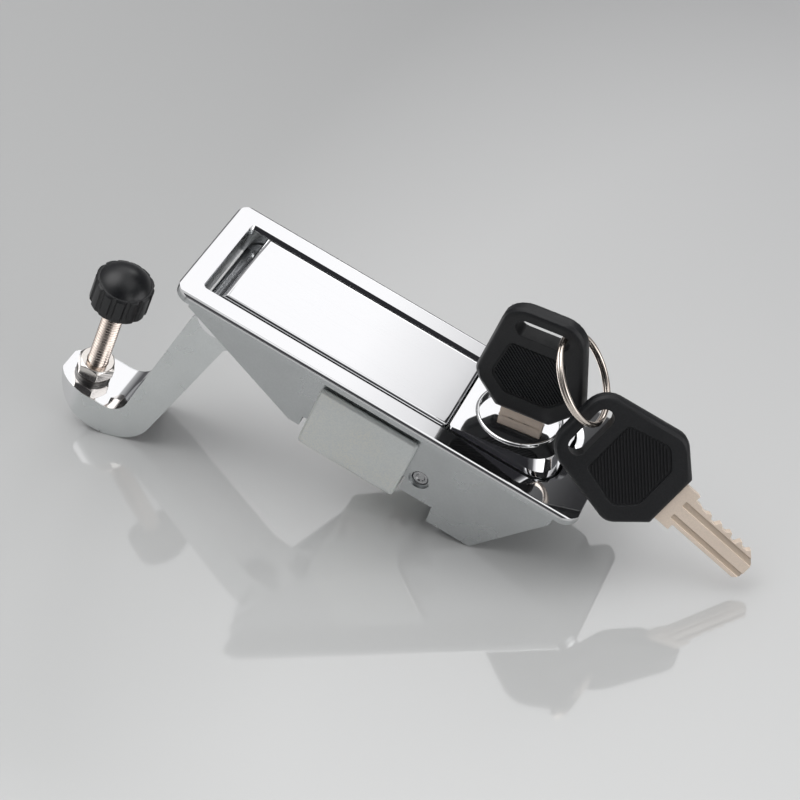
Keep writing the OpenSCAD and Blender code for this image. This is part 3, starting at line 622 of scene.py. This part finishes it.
RING_AT = Vector((39.1, -1.85, 27.95)) * MM
RING_TURN = Euler([math.radians(a) for a in (-16.2, 35.65, -21)])
RING_FRAME = Matrix.Translation(RING_AT) @ RING_TURN.to_matrix().to_4x4()
RING_R = 10.9 * MM
RING_WIRE = 1.2 * MM
RING_TURNS = 1.97
RING_RISE = 1.04 * RING_WIRE
RING_STEPS = 180
RING_CREASE = 50
WIRE_STEPS = 14


def split_ring():
    """Wire swept round the ring's axis, rising by a little over its own thickness."""
    bm = bmesh.new()
    wire = bmesh.ops.create_circle(bm, segments=WIRE_STEPS, radius=RING_WIRE / 2)["verts"]
    bmesh.ops.rotate(bm, cent=(0, 0, 0), matrix=Matrix.Rotation(math.pi / 2, 3, "X"), verts=wire)
    bmesh.ops.translate(bm, vec=(RING_R, 0, -RING_WIRE / 2), verts=wire)
    bmesh.ops.spin(bm, geom=bm.verts[:] + bm.edges[:], cent=(0, 0, 0), axis=(0, 0, 1),
                   dvec=(0, 0, RING_RISE / RING_STEPS), angle=2 * math.pi * RING_TURNS,
                   steps=RING_STEPS, use_merge=False, use_duplicate=False)
    bmesh.ops.holes_fill(bm, edges=[e for e in bm.edges if e.is_boundary], sides=0)
    bmesh.ops.recalc_face_normals(bm, faces=bm.faces)
    bmesh.ops.transform(bm, matrix=RING_FRAME, verts=bm.verts)
    return bm


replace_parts(finished("key_ring_wound", split_ring(), "ring", "ring", crease=RING_CREASE), "key_ring")


# Table

TABLE_TILT = math.radians(23.1)
TABLE_NORMAL = Vector((-math.sin(TABLE_TILT), 0, math.cos(TABLE_TILT)))
TABLE_SIZE = 5.0
TABLE_GAP = 0.05 * MM
TABLE_IOR = 2.1
# Painted light: the table's lit tone near the lock and its dim tone far away
TABLE_NEAR_PAINTED_LIT = (0.715, 0.72, 0.715)
TABLE_FAR_PAINTED_DIM = (0.405, 0.405, 0.408)
# Painted light falloff: the tone falls from near to far over this span in metres, faster at the right than at
# the left
PAINTED_FALLOFF_SPAN = (-0.12, 0.32)
PAINTED_FALLOFF_ACROSS = (-0.2, 0.2)
PAINTED_FALLOFF_LEFT, PAINTED_FALLOFF_RIGHT = 0.45, 1.7


def lowest_along(direction):
    """How far the shown object reaches against a direction."""
    graph = bpy.context.evaluated_depsgraph_get()
    return min(direction.dot(v.co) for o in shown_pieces() for v in o.evaluated_get(graph).data.vertices)


def table_gloss_painted_falloff():
    """Pale gloss with a painted light falloff that darkens it with distance; clear from below."""
    finish = Finish("table_gloss_painted_falloff", metallic=0)
    tree = finish.tree
    finish.shader.inputs["IOR"].default_value = TABLE_IOR
    # Painted light falloff across and along the table
    rate = range_node(tree, finish.axis("X"), PAINTED_FALLOFF_ACROSS, PAINTED_FALLOFF_LEFT, PAINTED_FALLOFF_RIGHT)
    depth = range_node(tree, math_node(tree, "MULTIPLY", finish.axis("Y"), rate), PAINTED_FALLOFF_SPAN)
    finish.drive("Base Color", finish.blend(depth, TABLE_NEAR_PAINTED_LIT, TABLE_FAR_PAINTED_DIM))
    finish.marked(6, low=0.04, high=0.07)
    clear = tree.nodes.new("ShaderNodeBsdfTransparent")
    below = tree.nodes.new("ShaderNodeMixShader")
    tree.links.new(tree.nodes.new("ShaderNodeNewGeometry").outputs["Backfacing"], below.inputs[0])
    tree.links.new(finish.shader.outputs[0], below.inputs[1])
    tree.links.new(clear.outputs[0], below.inputs[2])
    tree.links.new(below.outputs[0], tree.nodes["Material Output"].inputs["Surface"])
    return finish.material


def table_top():
    """Glossy table that the lock lies on."""
    bm = bmesh.new()
    bmesh.ops.create_grid(bm, x_segments=1, y_segments=1, size=TABLE_SIZE / 2)
    bmesh.ops.rotate(bm, cent=(0, 0, 0), matrix=Matrix.Rotation(-TABLE_TILT, 3, "Y"), verts=bm.verts)
    bmesh.ops.translate(bm, vec=TABLE_NORMAL * (lowest_along(TABLE_NORMAL) - TABLE_GAP), verts=bm.verts)
    mesh = bpy.data.meshes.new("table_top")
    bm.to_mesh(mesh)
    bm.free()
    mesh.materials.append(table_gloss_painted_falloff())
    table = bpy.data.objects.new("table_top", mesh)
    bpy.context.scene.collection.objects.link(table)
    table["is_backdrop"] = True


table_top()


# Light

# The room goes from its horizon to its overhead tone over this span of the cosine to the table's normal
ROOM_SPAN = (0.25, 0.75)
ROOM_HORIZON = (0.10, 0.10, 0.105)
ROOM_OVERHEAD = (0.56, 0.565, 0.57)
# Soft areas, each laid over those before it: direction, cosines at which it begins and is full, and colour
ROOM_AREAS = {
    "bright_screen": ((-0.35, 0.68, 0.65), (0.925, 0.96), (1.10, 1.10, 1.11)),
    "dark_flag": ((0.30, 0.66, 0.69), (0.945, 0.968), (0.03, 0.03, 0.032)),
    "back_light": ((-0.075, 0.84, 0.54), (0.988, 0.996), (2.8, 2.8, 2.8)),
    "left_light": ((-0.67, 0, 0.74), (0.84, 0.975), (2.6, 2.6, 2.6)),
    "right_light": ((0.78, -0.23, 0.58), (0.86, 0.98), (2.1, 2.1, 2.1)),
    "dim_camera_side": ((0.05, -0.75, 0.72), (0.84, 0.97), (0.025, 0.025, 0.028)),
}
LAMP_AT = Vector((0.25, 0.25, 1.25))
LAMP_SIZE = 1.0
LAMP_POWER = 1.2


def studio_world():
    """Room that is dark at the horizon and pale overhead, with soft lights and dark areas in it."""
    world = bpy.data.worlds.new("studio")
    bpy.context.scene.world = world
    world.use_nodes = True
    tree = world.node_tree
    way = tree.nodes.new("ShaderNodeTexCoord").outputs["Generated"]

    def toward(direction):
        node = tree.nodes.new("ShaderNodeVectorMath")
        node.operation = "DOT_PRODUCT"
        tree.links.new(way, node.inputs[0])
        node.inputs[1].default_value = Vector(direction).normalized()
        return node.outputs["Value"]

    light = colour_mix(tree, range_node(tree, toward(TABLE_NORMAL), ROOM_SPAN), ROOM_HORIZON, ROOM_OVERHEAD)
    for direction, span, colour in ROOM_AREAS.values():
        light = colour_mix(tree, range_node(tree, toward(direction), span), light, colour)
    background = tree.nodes["Background"]
    tree.links.new(light, background.inputs["Color"])
    background.inputs["Strength"].default_value = 1.0


def top_softbox():
    """Round area lamp above, aimed at the lock."""
    lamp = bpy.data.lights.new("top_softbox", "AREA")
    lamp.shape = "DISK"
    lamp.size = LAMP_SIZE
    lamp.energy = LAMP_POWER
    lamp_object = bpy.data.objects.new("top_softbox", lamp)
    lamp_object.location = LAMP_AT
    lamp_object.rotation_mode = "QUATERNION"
    lamp_object.rotation_quaternion = (-LAMP_AT).to_track_quat("-Z", "Y")
    bpy.context.scene.collection.objects.link(lamp_object)


studio_world()
top_softbox()


# Camera

CAMERA_AT = Vector((26.08, -359.55, 354.55)) * MM
CAMERA_AIM = Vector((4.32, -10.51, 0)) * MM
CAMERA_UP = Vector((-0.3578, 0, 0.9338))
SENSOR = 36.0
LENS = 94.0
SEEN_FROM, SEEN_TO = 0.01, 50


def photo_camera():
    """Camera at the photograph's viewing angle."""
    data = bpy.data.cameras.new("photo_camera")
    data.sensor_width = SENSOR
    data.lens = LENS
    data.clip_start, data.clip_end = SEEN_FROM, SEEN_TO
    camera = bpy.data.objects.new("photo_camera", data)
    ahead = (CAMERA_AIM - CAMERA_AT).normalized()
    right = ahead.cross(CAMERA_UP).normalized()
    turn = Matrix((right, right.cross(ahead), -ahead)).transposed().to_4x4()
    camera.matrix_world = Matrix.Translation(CAMERA_AT) @ turn
    bpy.context.scene.collection.objects.link(camera)
    bpy.context.scene.camera = camera


photo_camera()
bpy.context.scene.view_settings.view_transform = "Standard"
